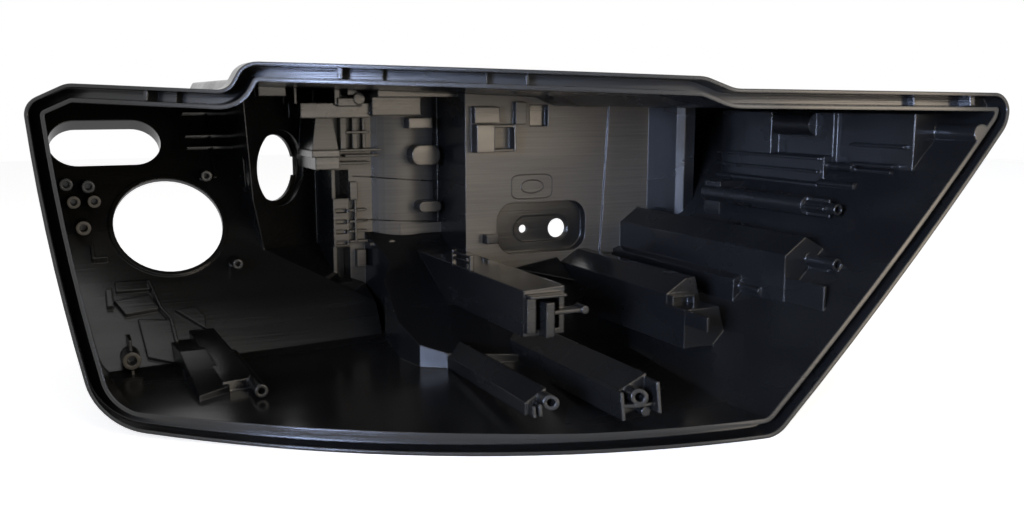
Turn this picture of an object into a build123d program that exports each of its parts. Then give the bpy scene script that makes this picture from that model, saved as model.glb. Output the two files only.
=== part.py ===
"""Moulded housing of a vehicle headlamp: one hollow moulding, open at the front.

All sizes are in millimetres. +Z is up as fitted, +Y is the draw direction of the tool and
points to the back of the housing, +X runs along it. The origin is the centre of the round
service opening in the back wall.
"""
from build123d import *
from math import cos, radians, sin, tan
import os

os.makedirs("parts", exist_ok=True)

# general sizes
WALL = 2.6
RIB = 1.8
FRONT = -420.0
FAR = 420.0

# open front: a face swept, raked and bowed like the lens that closes it
RIM_SWEEP = 25.9
RIM_RAKE = 8.87
RIM_CENTRE = (188.8, -215.0, -5.3)
RIM_BOW = 910.0
RIM_CROWN = 60.0
RIM_LIP = 2.2
RIM_WIDTH = 12.0
RIM_DEPTH = 15.0

# rim corners seen along the draw direction: x, z, corner radius
RIM_CORNERS = [
    (-95.4, 93.2, 14.0),
    (-68.9, 106.0, 14.0),
    (18.9, 101.3, 9.0),
    (28.6, 118.9, 13.0),
    (279.5, 109.6, 18.0),
    (297.1, 102.2, 18.0),
    (495.0, 99.7, 11.0),
    (490.1, 79.4, 24.0),
    (308.8, -109.5, 20.0),
    (-65.6, -110.8, 34.0),
]
FLOOR_BULGE = (120.0, -116.2)
LEFT_BULGE = (-85.7, -1.4)

# floor, ramp and back wall
FLOOR_LEVEL = -88.7
FLOOR_TILT = 0.0266
FLOOR_DRAFT = 0.0648
RAMP_LEVEL = -5.0
RAMP_RISE = 0.502
RAMP_EDGE = [
    (150.0, 80.0), (150.0, -10.0), (160.0, -52.0), (147.0, -75.0), (142.0, -121.0),
    (149.0, -146.0), (166.0, -157.0), (290.0, -178.0), (345.0, -186.0), (460.0, -186.0),
    (460.0, 80.0),
]
LEFT_PITCH = 34.0
LEFT_END = 68.6
SHELF_END = 150.0
SHELF_LEVEL = -21.2
SHELF_FALL = 0.405
SHELF_RISE = 0.373
MIDDLE_BACK = -15.0
PLATEAU_BACK = -75.0
RIGHT_BACK = -40.0
TOP = 150.0
BOTTOM = -150.0

MIDDLE_SWELL = 7.0
MIDDLE_FOLD = 158.0

# round service opening, with a raised seat in front and a collar for its cap behind
SERVICE_RADIUS = 40.0
SEAT_RADIUS = 43.4
SEAT_HEIGHT = 1.2
SERVICE_COLLAR = 7.0

# long oval opening above it: centre along X and up the pitched wall, length, height
OVAL_CENTRE = (-39.0, 74.8)
OVAL_SIZE = (82.0, 41.0)
OVAL_DEPTH = 13.4

# bayonet opening in the slanted wall beside them
KEY_CENTRE = (88.0, 41.0)
KEY_RADIUS = 30.5
KEY_DEPTH = 9.0
KEY_HOLE_RADIUS = 26.5
KEY_NOTCHES = (57.0, 15.0)

# pocket in the plateau with a stepped floor and two holes
POCKET_CENTRE = (284.5, -9.0)
POCKET_SIZE = (82.0, 42.0)
POCKET_RADIUS = 15.0
POCKET_DEPTH = 8.0
RECESS_CENTRE = (287.5, -10.9)
RECESS_SIZE = (50.6, 21.2)
RECESS_DEPTH = 1.1
SMALL_HOLE = (270.9, -10.6, 3.3)
LARGE_HOLE = (302.7, -11.6, 8.0)
WINDOW_CENTRE = (281.2, 82.4)
WINDOW_SIZE = (16.5, 17.0)
WINDOW_RADIUS = 0
WINDOW_DEPTH = 6.0

# plans of the uprights and outlines of the blocks, all with their back parts overlapping
MIDDLE_LEFT = 124.5
KEY_LEFT = 40.0
KEY_FRONT = -39.85
KEY_SLOPE = 0.869
KEY_RIGHT = MIDDLE_LEFT + 2.5 * WALL
KEY_BACK = KEY_FRONT + KEY_SLOPE * (KEY_RIGHT - KEY_LEFT)
KEY_PLAN = [(KEY_LEFT, KEY_FRONT), (KEY_RIGHT, KEY_BACK), (KEY_RIGHT, 2 * FAR), (KEY_LEFT, 2 * FAR)]
KEY_OUTLINE = [(72.0, -60.0), (68.6, -21.0), (60.0, 18.6), (54.6, 94.0), (50.0, TOP),
               (KEY_RIGHT, TOP), (KEY_RIGHT, -60.0)]
PILLAR_PLAN = [(383.0, -68.0), (394.5, -106.0), (400.0, -110.0), (410.0, -110.0),
               (414.0, -104.0), (414.0, 0.0), (383.0, 0.0)]
PLATEAU_OUTLINE = [(216.0, BOTTOM), (395.0, BOTTOM), (395.0, TOP), (216.0, TOP)]
RIGHT_OUTLINE = [(385.0, BOTTOM), (560.0, BOTTOM), (560.0, TOP), (385.0, TOP)]
FIRST_OUTLINE = [(166.0, -94.0), (180.4, -90.0), (180.4, -78.1), (166.0, -85.8)]
SECOND_OUTLINE = [(218.0, -96.5), (239.5, -92.0), (239.5, -71.0), (218.0, -80.5)]
THIRD_OUTLINE = [(187.0, -57.0), (217.0, -57.0), (217.0, -24.8), (187.0, -26.3)]
FOURTH_OUTLINE = [(302.0, -72.5), (338.0, -72.5), (326.0, -29.0), (318.0, -29.0), (302.0, -39.0)]
FOURTH_FOOT_OUTLINE = [(302.0, -73.7), (338.3, -73.7), (330.8, -46.5), (302.0, -46.5)]
FIFTH_OUTLINE = [(359.0, -80.0), (430.0, -80.0), (394.0, -6.0), (376.0, 3.6), (359.0, -8.0)]
SIXTH_OUTLINE = [(352.0, -80.0), (380.0, -80.0), (380.0, -26.5), (366.0, -26.5), (352.0, -31.0)]
TOWERS = [
    (FIRST_OUTLINE, -280.0),
    (SECOND_OUTLINE, -300.0),
    (THIRD_OUTLINE, -236.0),
    (FOURTH_OUTLINE, -230.0),
    (FIFTH_OUTLINE, -285.0),
    (SIXTH_OUTLINE, -240.0),
    (FOURTH_FOOT_OUTLINE, -252.0),
]

# hollow mouths in the tower fronts: tower, centre, size, depth
TOWER_MOUTHS = [(2, (202.0, -42.0), (22.0, 22.0), 42.0), (1, (228.5, -85.5), (16.0, 11.0), 30.0)]

# boxes at the foot of the pitched wall: plan in X and Y, slope of the top, a point on it, and
# the level where it turns flat
CONTAINER = ([(2.5, -30.0), (12.2, -139.0), (34.5, -136.5), (19.0, -30.0)], 0.19,
             (23.0, -138.0, -90.0), -66.0)
STEP_BOX = ([(-10.0, -50.0), (-4.6, -149.6), (16.0, -141.0), (6.0, -50.0)], 0.25,
            (-4.6, -149.6, -94.4), -79.0)

# screw bosses on the pitched wall: x, z, radius, hole radius
BOSS_HEIGHT = 16.0
BOSSES = [
    (-70.0, 33.0, 4.6, 2.4),
    (-55.0, 31.0, 4.6, 2.4),
    (-66.0, 20.5, 4.6, 2.4),
    (-52.0, 20.5, 4.6, 2.4),
    (-61.0, 2.5, 5.2, 2.7),
    (31.2, 36.0, 4.1, 2.0),
    (44.5, -28.5, 3.8, 1.8),
    (-38.2, -85.5, 6.2, 3.3),
]

# tubes on the tower fronts: tower, x, z, radius, hole radius or 0, height
TOWER_TUBES = [
    (0, 178.3, -84.3, 4.5, 2.4, 26.0),
    (1, 227.9, -82.0, 5.0, 2.8, 21.0),
    (1, 234.5, -92.5, 3.2, 0, 8.5),
    (2, 229.6, -41.6, 2.8, 0, 6.0),
    (4, 380.8, -12.2, 4.2, 2.2, 26.0),
    (5, 359.8, -36.7, 3.1, 0, 21.5),
]

# plates on the tower fronts: tower, left, low, right, high, height
TOWER_PLATES = [
    (0, 167.8, -93.2, 169.6, -86.5, 23.0),
    (0, 171.2, -92.4, 173.0, -85.4, 28.0),
    (1, 217.1, -95.6, 218.9, -79.0, 30.0),
    (1, 238.1, -91.8, 239.9, -73.0, 30.0),
    (1, 218.0, -88.0, 239.0, -86.2, 12.0),
    (2, 187.2, -54.0, 193.6, -31.0, 5.0),
    (2, 198.0, -56.2, 204.0, -33.5, 11.0),
    (2, 188.0, -30.6, 214.0, -28.8, 9.0),
    (2, 203.0, -43.0, 229.0, -40.4, 5.0),
    (3, 302.4, -41.6, 321.6, -39.8, 7.0),
    (3, 302.4, -46.0, 304.2, -40.2, 7.0),
    (3, 319.8, -46.4, 321.6, -40.2, 7.0),
    (6, 302.2, -57.0, 304.2, -47.0, 25.0),
    (4, 359.4, -39.0, 361.4, -23.0, 37.0),
    (4, 379.9, -26.0, 381.7, -14.0, 18.0),
]

# blocks, ledges and ribs on the back walls: left, low, right, high, front
BACK_BLOCKS = [
    (65.8, 97.9, 86.6, 118.0, -30.0),
    (93.1, 92.0, 95.1, 118.0, -29.0),
    (98.0, 81.0, 153.7, 92.6, -28.0),
    (106.0, 50.3, 128.3, 55.7, -28.0),
    (109.0, 40.4, 128.6, 51.0, -26.0),
    (124.5, 91.0, 128.9, 118.0, -30.0),
    (126.7, 90.2, 146.0, 96.4, -32.0),
    (134.9, 98.8, 142.8, 118.0, -31.0),
    (153.8, 82.8, 194.8, 99.5, -34.0),
    (150.0, 97.2, 383.0, 118.0, -60.0),
    (184.0, 72.2, 204.2, 80.5, -35.0),
    (130.3, 54.2, 135.3, 82.0, -24.0),
    (140.7, 54.0, 145.0, 82.4, -22.0),
    (149.6, 53.8, 152.3, 81.6, -20.0),
    (129.0, 54.4, 163.0, 56.2, -26.5),
    (133.6, 49.9, 161.0, 51.7, -25.0),
    (127.7, 44.1, 154.0, 45.9, -25.5),
    (134.7, 68.6, 153.7, 70.4, -25.2),
    (137.0, 5.6, 152.0, 7.4, -20.0),
    (137.2, -3.4, 151.8, -1.6, -20.4),
    (137.0, -11.6, 152.2, -9.8, -20.0),
    (137.2, -19.8, 152.0, -18.0, -20.4),
    (141.4, -19.0, 143.2, 15.4, -21.0),
    (138.6, 14.6, 144.9, 29.4, -19.0),
    (142.4, -40.0, 149.7, -26.0, -22.0),
    (151.0, -22.4, 166.5, -19.8, -29.0),
    (179.5, -15.2, 226.8, -6.6, -22.0),
    (221.4, 76.9, 242.9, 89.5, -82.0),
    (221.4, 54.1, 236.5, 75.8, -86.0),
    (236.0, 54.6, 256.0, 56.4, -84.0),
    (236.0, 73.6, 256.0, 75.4, -84.0),
    (254.4, 54.4, 256.2, 75.6, -84.6),
    (257.9, 75.8, 267.7, 93.3, -80.0),
    (230.4, -18.8, 240.9, -11.7, -84.0),
]
BOTTLE_OUTLINE = [(107.0, 55.0), (128.7, 54.8), (123.1, 86.0), (111.1, 86.0)]
BOTTLE_FRONT = -24.4
PANEL_OUTLINE = [(339.0, -34.0), (390.0, -34.0), (390.0, 100.0), (347.0, 100.0)]
PANEL_HEIGHT = 2.0

# louvre box on the middle wall and the slots in it
LOUVRE_BOX = (MIDDLE_LEFT, -22.9, 137.6, 16.2)
LOUVRE_FRONT = -18.0
LOUVRE_SPAN = (126.6, 135.6)
LOUVRE_HEIGHT = 3.3
LOUVRE_LEVELS = [6.15, -2.8, -10.95, -19.95]
LOUVRE_DEPTH = 4.4

# deep recesses beside them: centre, size, corner radius, back
RECESSES = [((133.0, 27.5), (11.0, 23.0), 0, 10.0), ((133.0, -38.0), (11.0, 28.0), 0, 4.0)]

# round posts beside the ribs: x, z, radius, front
BACK_POSTS = [(169.5, -21.7, 3.5, -30.0), (143.7, 96.0, 4.6, -33.0)]

# raised pads on the pitched wall: outline along X and up the slope, height
PADS = [
    ([(-43.0, -54.0), (-18.6, -54.0), (-18.6, -46.0), (-43.0, -46.0)], 3.5),
    ([(-45.0, -61.5), (-38.0, -73.0), (-15.0, -70.6), (-20.6, -58.7)], 5.0),
    ([(-30.0, -77.0), (-26.4, -107.0), (-6.6, -114.0), (-6.6, -80.0)], 4.0),
    ([(-18.9, -48.3), (-21.0, -48.3), (-15.0, -70.8), (-9.0, -80.2), (-7.0, -99.0), (-4.8, -99.0),
      (-6.8, -80.2), (-12.8, -70.8)], 8.0),
    ([(-4.0, -72.4), (15.6, -89.3), (16.8, -79.6), (10.7, -70.7)], 4.4),
    ([(-50.0, -66.0), (-45.6, -66.0), (-45.6, -52.0), (-50.0, -52.0)], 6.0),
    ([(-57.0, -28.0), (-46.0, -28.0), (-46.0, -26.0), (-55.0, -26.0), (-55.0, -14.5), (-57.0, -14.5)],
     7.0),
]

# fins at the lowest boss of the pitched wall: left, low, right, high, front
FOOT_FINS = [(-39.0, -101.0, -37.2, -92.0, -76.0), (-39.2, -82.0, -37.0, -72.0, -68.0)]
FOOT_POST = (33.0, -93.0, 4.4, 2.2, -161.0)

# thin ribs on the pitched wall
GRID_SPAN = (21.0, 66.0)
GRID_LEVELS = [84.0, 66.0, 57.0]
GRID_HEIGHT = 5.0
GRID_UPRIGHT = (39.6, 34.0, 100.0)

# pegs on the middle wall: x, z, length across, height
PEG_FRONT = -36.0
PEGS = [(198.2, 50.4, 24.0, 16.0), (201.4, 8.1, 19.0, 9.0)]

# ribbed block on the right wall
RIBBED_OUTLINE = [(431.0, 26.0), (560.0, 26.0), (560.0, 86.0), (431.0, 86.0)]
RIBBED_WAIST = 54.0
RIBBED_SHIFT = 8.0
RIBBED_STEP = -181.0
RIBBED_FRONT = -240.0
RIBBED_BACK = -120.0
RIBBED_LEVELS = [33.0, 42.5, 52.3]
RIBBED_SWELL = (440.0, 77.0, 8.5, -222.0)
RIBBED_TUBES = [(437.0, 47.2, 3.0, 24.0), (430.5, 34.6, 2.7, 33.0)]
NOSE_SHIFT = 12.0
NOSE_FRONT = -311.0
NOSE_PLATES = [(436.0, 49.0, 446.0, 50.8, -300.0), (438.4, 44.8, 446.0, 46.6, -296.0),
               (439.4, 62.6, 446.0, 64.4, -306.0)]
SIDE_RIB = (468.0, 73.0, 6.5, -350.0, -292.0)

# adjuster tube beside it, on a web and a root plate
TUBE_CENTRE = (405.0, 20.5)
TUBE_RADIUS = 6.8
TUBE_HOLE = 2.2
TUBE_FRONT = -254.0
TUBE_ROOT = -137.0
TUBE_TIP = 30.0
TUBE_TIP_RADIUS = 4.0
TUBE_FINS = 22.0

# ears behind the rim: a plate with a bore each
EAR_THICK = 4.0
EAR_BORE = 4.5
EAR_SIZE = (52.0, 24.0)
TOP_EAR = (170.0, 12.0, 103.0)
FLOOR_EAR = (-20.0, -32.0, -92.0)
SIDE_EAR = (486.0, -44.0, 64.0)


def rim_sketch(inset):
    """Outline of the rim along the draw direction, moved inwards by inset."""
    points = [(x, z) for x, z, _ in RIM_CORNERS]
    with BuildSketch(Plane.XZ.offset(-FRONT)) as sketch:
        with BuildLine():
            Polyline(*points[:9])
            ThreePointArc(points[8], FLOOR_BULGE, points[9])
            ThreePointArc(points[9], LEFT_BULGE, points[0])
        make_face()
        for x, z, radius in RIM_CORNERS:
            fillet(sketch.vertices().sort_by_distance(Vertex(x, z, 0))[0], radius)
        if inset:
            offset(amount=-inset, kind=Kind.INTERSECTION, mode=Mode.REPLACE)
    return sketch.sketch


def front_space(back):
    """Everything in front of the bowed rim face, moved back by back."""
    sweep, rake = radians(RIM_SWEEP), radians(RIM_RAKE)
    across = Vector(cos(sweep), -sin(sweep), 0)
    rise = Vector(sin(sweep) * sin(rake), cos(sweep) * sin(rake), cos(rake))
    half = 1.12 * FAR
    tip = RIM_BOW - RIM_CROWN - (RIM_BOW**2 - half**2) ** 0.5
    plane = Plane(origin=Vector(*RIM_CENTRE) + Vector(0, back, 0), x_dir=across, z_dir=rise)
    with BuildPart() as space:
        with BuildSketch(plane.offset(-FAR)):
            with BuildLine():
                ThreePointArc((-half, tip), (0, -RIM_CROWN), (half, tip))
                Polyline((half, tip), (half, -2 * FAR), (-half, -2 * FAR), (-half, tip))
            make_face()
        extrude(amount=2 * FAR)
    return space.part


def block(outline, front, back=2 * FAR, inset=0.0, mode=Mode.ADD):
    """Solid along the draw direction from an X-Z outline; inset shrinks it on all sides."""
    with BuildSketch(Plane.XZ.offset(-front - inset)) as sketch:
        Polygon(*outline, align=None)
        if inset:
            offset(amount=-inset, kind=Kind.INTERSECTION, mode=Mode.REPLACE)
    extrude(sketch.sketch, amount=-(back - front - inset), mode=mode)


def upright(outline, low, high, inset=0.0, mode=Mode.ADD):
    """Vertical solid from an X-Y outline; inset shrinks it sideways."""
    with BuildSketch(Plane.XY.offset(low)) as sketch:
        Polygon(*outline, align=None)
        if inset:
            offset(amount=-inset, kind=Kind.INTERSECTION, mode=Mode.REPLACE)
    extrude(sketch.sketch, amount=high - low, mode=mode)


def below(normal, point, inset=0.0, mode=Mode.ADD):
    """Everything on the far side of a plane, the plane moved away by inset."""
    with BuildSketch(Plane(origin=point, z_dir=normal).offset(-inset)) as sketch:
        Rectangle(4 * FAR, 4 * FAR)
    extrude(sketch.sketch, amount=-2 * FAR, mode=mode)


def floor_ground(inset):
    """Ground under the flat floor and under the ramp that climbs to the back wall."""
    with BuildPart() as ramp:
        below((0, -RAMP_RISE, 1), (0, 0, RAMP_LEVEL), inset)
        upright(RAMP_EDGE, BOTTOM, TOP, inset, mode=Mode.INTERSECT)
    with BuildPart() as ground:
        below((-FLOOR_TILT, -FLOOR_DRAFT, 1), (0, 0, FLOOR_LEVEL), inset)
        add(ramp.part)
    return ground.part


def void(centre, size, radius, front, back, inset=0.0):
    """Pocket cut into a wall; inset widens it on all sides."""
    width, height = size
    with BuildSketch(Plane.XZ.offset(10 - front)) as sketch:
        with Locations(centre):
            if radius:
                RectangleRounded(width + 2 * inset, height + 2 * inset, radius + inset)
            else:
                Rectangle(width + 2 * inset, height + 2 * inset)
    extrude(sketch.sketch, amount=-(10 + back - front + inset), mode=Mode.SUBTRACT)


def left_ground(inset):
    """Ground behind the pitched wall at the left, which runs on as a shelf."""
    lean = tan(radians(LEFT_PITCH))
    shift = inset / cos(radians(LEFT_PITCH))
    slope = [(BOTTOM * lean + shift, BOTTOM), (2 * FAR, BOTTOM), (2 * FAR, TOP),
             (TOP * lean + shift, TOP)]
    with BuildPart() as shelf:
        with BuildSketch(Plane.YZ.offset(LEFT_END - 20)):
            Polygon(*slope, align=None)
        extrude(amount=SHELF_END - LEFT_END + 20 - inset)
        below((SHELF_FALL, -SHELF_RISE, 1), (LEFT_END, MIDDLE_BACK, SHELF_LEVEL), inset,
              mode=Mode.INTERSECT)
    with BuildPart() as ground:
        with BuildSketch(Plane.YZ.offset(-FAR)):
            Polygon(*slope, align=None)
        extrude(amount=FAR + LEFT_END - inset)
        add(shelf.part)
    return ground.part


def key_ground(inset):
    """Ground behind the slanted wall that carries the bayonet opening."""
    with BuildPart() as leaning:
        block(KEY_OUTLINE, -100, inset=inset)
    with BuildPart() as ground:
        upright(KEY_PLAN, BOTTOM, TOP, inset)
        add(leaning.part, mode=Mode.INTERSECT)
    return ground.part


def middle_ground(inset):
    """Ground behind the middle wall, the right part of which swells forwards."""
    right = PLATEAU_OUTLINE[0][0]
    radius = ((right - MIDDLE_FOLD) ** 2 / 4 + MIDDLE_SWELL**2) / (2 * MIDDLE_SWELL)
    left, front = MIDDLE_LEFT + inset, MIDDLE_BACK + inset
    with BuildPart() as ground:
        with BuildSketch(Plane.XY.offset(BOTTOM)) as plan:
            Polygon((left, front), (right + 16, front), (right + 16, 2 * FAR), (left, 2 * FAR), align=None)
            with Locations(((MIDDLE_FOLD + right) / 2, MIDDLE_BACK - MIDDLE_SWELL + radius)):
                Circle(radius - inset)
        extrude(plan.sketch, amount=TOP - BOTTOM)
    return ground.part


def back_ground(inset):
    """Ground behind the stepped back wall."""
    with BuildPart() as ground:
        add(left_ground(inset))
        add(key_ground(inset))
        add(middle_ground(inset))
        block(PLATEAU_OUTLINE, PLATEAU_BACK, inset=inset)
        upright(PILLAR_PLAN, BOTTOM, TOP, inset)
        block(RIGHT_OUTLINE, RIGHT_BACK, inset=inset)
        back = PLATEAU_BACK
        void(POCKET_CENTRE, POCKET_SIZE, POCKET_RADIUS, back, back + POCKET_DEPTH, inset)
        void(WINDOW_CENTRE, WINDOW_SIZE, WINDOW_RADIUS, back, back + WINDOW_DEPTH, inset)
        for centre, size, radius, back in RECESSES:
            void(centre, size, radius, MIDDLE_BACK, back, inset)
    return ground.part


def box_ground(plan, slope, point, level, inset):
    """Low box at the foot of the pitched wall, its top sloping down to the front."""
    with BuildPart() as ground:
        upright(plan, BOTTOM, level - inset, inset)
        below((0, -slope, 1), point, inset, mode=Mode.INTERSECT)
    return ground.part


def tower_ground(inset):
    """Cored towers that stand up from the floor along the draw direction."""
    with BuildPart() as ground:
        for outline, front in TOWERS:
            block(outline, front, 20.0, inset)
        for tower, centre, size, depth in TOWER_MOUTHS:
            front = TOWERS[tower][1]
            void(centre, size, 0, front, front + depth, inset)
        add(box_ground(*CONTAINER, inset))
        add(box_ground(*STEP_BOX, inset))
    return ground.part


def ribbed_ground(inset):
    """Ribbed block of the right wall, cored from outside."""
    (left, low), (right, _), (_, high), _ = RIBBED_OUTLINE
    back = RIBBED_BACK - inset
    with BuildPart() as ground:
        block(box_outline(left, low, right, RIBBED_WAIST), RIBBED_FRONT, back, inset)
        block(box_outline(left, RIBBED_WAIST - 3 * WALL, right, high), RIBBED_STEP, back, inset)
        upper = box_outline(left + RIBBED_SHIFT, RIBBED_WAIST - 3 * WALL, right, high)
        block(upper, RIBBED_FRONT, back, inset)
        nose = box_outline(left + NOSE_SHIFT, RIBBED_WAIST - 4 * WALL, right, high)
        block(nose, NOSE_FRONT, back, inset)
    return ground.part


def rim_prism(inset):
    """Solid inside the rim outline, all along the draw direction."""
    with BuildPart() as prism:
        extrude(rim_sketch(inset), amount=-(FAR - FRONT))
    return prism.part


def rim_band():
    """Bonding channel with its floor, still full inside its inner lip."""
    with BuildPart() as groove:
        add(rim_prism(RIM_LIP))
        add(rim_prism(RIM_WIDTH - RIM_LIP), mode=Mode.SUBTRACT)
        add(front_space(RIM_DEPTH), mode=Mode.INTERSECT)
    with BuildPart() as band:
        add(rim_prism(0))
        add(front_space(RIM_DEPTH + WALL), mode=Mode.INTERSECT)
        add(groove.part, mode=Mode.SUBTRACT)
    return band.part


def cavity():
    """Space inside the housing, open to the front."""
    with BuildPart() as space:
        add(rim_prism(RIM_WIDTH))
        for ground in (floor_ground(0), back_ground(0), tower_ground(0), ribbed_ground(0)):
            add(ground, mode=Mode.SUBTRACT)
    return space.part


def key_plane():
    """Plane of the slanted wall at the centre of the bayonet opening, facing the front."""
    x, z = KEY_CENTRE
    origin = (x, KEY_FRONT + KEY_SLOPE * (x - KEY_LEFT), z)
    return Plane(origin=origin, x_dir=(1, KEY_SLOPE, 0), z_dir=(KEY_SLOPE, -1, 0))


def left_plane():
    """Plane of the pitched wall at the centre of the service opening, facing the front."""
    pitch = radians(LEFT_PITCH)
    return Plane(origin=(0, 0, 0), x_dir=(1, 0, 0), z_dir=(0, -cos(pitch), sin(pitch)))


def box_outline(left, low, right, high):
    """Corners of an upright rectangle in X and Z."""
    return [(left, low), (right, low), (right, high), (left, high)]


def post(x, z, radius, front, back, mode=Mode.ADD):
    """Round post or hole along the draw direction."""
    with BuildSketch(Plane.XZ.offset(-front)) as sketch:
        with Locations((x, z)):
            Circle(radius)
    extrude(sketch.sketch, amount=-(back - front), mode=mode)


def left_front(z):
    """Where the pitched wall stands at a height."""
    return z * tan(radians(LEFT_PITCH))


def left_fittings():
    """Bosses and thin ribs on the pitched wall."""
    with BuildPart() as fittings:
        for x, z, radius, _ in BOSSES:
            post(x, z, radius, left_front(z) - BOSS_HEIGHT, 2 * FAR)
        low, high = GRID_SPAN
        for level in GRID_LEVELS:
            outline = box_outline(low, level - RIB / 2, high, level + RIB / 2)
            block(outline, left_front(level) - GRID_HEIGHT)
        x, low, high = GRID_UPRIGHT
        with BuildSketch(Plane.YZ.offset(x - RIB / 2)) as side:
            Polygon((left_front(low) - GRID_HEIGHT, low), (FAR, low), (FAR, high),
                    (left_front(high) - GRID_HEIGHT, high), align=None)
        extrude(side.sketch, amount=RIB)
        for outline, height in PADS:
            with BuildSketch(left_plane().offset(height)) as pad:
                Polygon(*outline, align=None)
            extrude(pad.sketch, amount=-height - WALL)
        for left, low, right, high, front in FOOT_FINS:
            block(box_outline(left, low, right, high), front)
        x, z, radius, _, front = FOOT_POST
        post(x, z, radius, front, 2 * FAR)
    return fittings.part


def tower_fittings():
    """Tubes and plates on the fronts of the towers."""
    with BuildPart() as fittings:
        for tower, x, z, radius, _, height in TOWER_TUBES:
            front = TOWERS[tower][1]
            post(x, z, radius, front - height, front + 2 * WALL)
        for tower, left, low, right, high, height in TOWER_PLATES:
            front = TOWERS[tower][1]
            block(box_outline(left, low, right, high), front - height, front + 2 * WALL)
    return fittings.part


def middle_fittings():
    """Pegs, ledges, ribs and brackets on the middle wall and on the plateau."""
    with BuildPart() as fittings:
        for left, low, right, high, front in BACK_BLOCKS:
            block(box_outline(left, low, right, high), front)
        for x, z, radius, front in BACK_POSTS:
            post(x, z, radius, front, 2 * FAR)
        block(box_outline(*LOUVRE_BOX), LOUVRE_FRONT)
        block(BOTTLE_OUTLINE, BOTTLE_FRONT)
        block(PANEL_OUTLINE, PLATEAU_BACK - PANEL_HEIGHT)
        for x, z, length, height in PEGS:
            with BuildSketch(Plane.XZ.offset(-PEG_FRONT)) as peg:
                with Locations((x, z)):
                    RectangleRounded(length, height, height * 0.45)
            extrude(peg.sketch, amount=-60)
    return fittings.part


def right_fittings():
    """Ribbed block and adjuster tube on the right wall."""
    (left, low), (right, _), (_, high), _ = RIBBED_OUTLINE
    x, z = TUBE_CENTRE
    with BuildPart() as fittings:
        for plate_left, plate_low, plate_right, plate_high, front in NOSE_PLATES:
            plate = box_outline(plate_left, plate_low, plate_right, plate_high)
            block(plate, front, RIBBED_FRONT - 6 * WALL)
        for level in RIBBED_LEVELS:
            rib = box_outline(left - 3, level - RIB / 2, left + WALL, level + RIB / 2)
            block(rib, RIBBED_FRONT + 3, RIBBED_BACK + 2)
        for tube_x, tube_z, radius, height in RIBBED_TUBES:
            post(tube_x, tube_z, radius, RIBBED_FRONT - height, RIBBED_FRONT + WALL)
        post(*RIBBED_SWELL, RIBBED_BACK)
        post(*SIDE_RIB)
        post(x, z, TUBE_RADIUS, TUBE_FRONT, TUBE_ROOT)
        post(x, z, TUBE_TIP_RADIUS, TUBE_FRONT - TUBE_TIP, TUBE_FRONT + WALL)
        fin = TUBE_RADIUS - 0.4
        for outline in (box_outline(x - fin, z - RIB / 2, x + fin, z + RIB / 2),
                        box_outline(x - RIB / 2, z - fin, x + RIB / 2, z + fin)):
            block(outline, TUBE_FRONT - TUBE_FINS, TUBE_FRONT + WALL)
        block(box_outline(x, z - RIB / 2, right, z + RIB / 2), TUBE_FRONT + 10, TUBE_ROOT)
        root = box_outline(x - TUBE_RADIUS / 2, z - 17, right, z + 10)
        block(root, TUBE_ROOT - 20, TUBE_ROOT)
    return fittings.part


def shell():
    """Walls of the housing with the bonding channel, still without openings."""
    with BuildPart() as space:
        add(cavity())
        for pieces in (left_fittings(), middle_fittings(), tower_fittings(), right_fittings()):
            add(pieces, mode=Mode.SUBTRACT)
    with BuildPart() as body:
        add(rim_prism(RIM_WIDTH - WALL))
        for ground in (floor_ground, back_ground, tower_ground, ribbed_ground):
            add(ground(WALL), mode=Mode.SUBTRACT)
        add(rim_band())
        add(space.part, mode=Mode.SUBTRACT)
        add(front_space(0), mode=Mode.SUBTRACT)
    return body.part


def disc(plane, radius, front, back, mode=Mode.ADD):
    """Round solid square to a wall, between two depths behind its face."""
    with BuildSketch(plane.offset(-back)) as sketch:
        Circle(radius)
    extrude(sketch.sketch, amount=back - front, mode=mode)


def slot(plane, centre, length, height, front, back, mode=Mode.ADD):
    """Long round-ended solid square to a wall, between two depths behind its face."""
    with BuildSketch(plane.offset(-back)) as sketch:
        with Locations(centre):
            SlotOverall(length, height)
    extrude(sketch.sketch, amount=back - front, mode=mode)


def collars():
    """Collars behind the three openings of the back wall."""
    length, height = OVAL_SIZE
    with BuildPart() as rings:
        disc(left_plane(), SEAT_RADIUS, -SEAT_HEIGHT, WALL / 2)
        disc(left_plane(), SEAT_RADIUS + WALL, WALL / 2, SERVICE_COLLAR)
        slot(left_plane(), OVAL_CENTRE, length + 2 * WALL, height + 2 * WALL, WALL / 2, OVAL_DEPTH)
        disc(key_plane(), KEY_RADIUS + WALL, WALL / 2, KEY_DEPTH)
    return rings.part


def openings():
    """Everything cut out of the walls square to them."""
    length, height = OVAL_SIZE
    with BuildPart() as cuts:
        disc(left_plane(), SERVICE_RADIUS, -3, 3 * WALL)
        disc(left_plane(), SEAT_RADIUS, WALL, 2 * SERVICE_COLLAR)
        slot(left_plane(), OVAL_CENTRE, length, height, -1, 2 * OVAL_DEPTH)
        disc(key_plane(), KEY_RADIUS, -1, KEY_DEPTH - WALL)
        disc(key_plane(), KEY_HOLE_RADIUS, 0, 2 * KEY_DEPTH)
        with BuildSketch(key_plane().offset(-2 * KEY_DEPTH)) as notches:
            Rectangle(*KEY_NOTCHES)
        extrude(notches.sketch, amount=2 * KEY_DEPTH)
    return cuts.part


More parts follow.
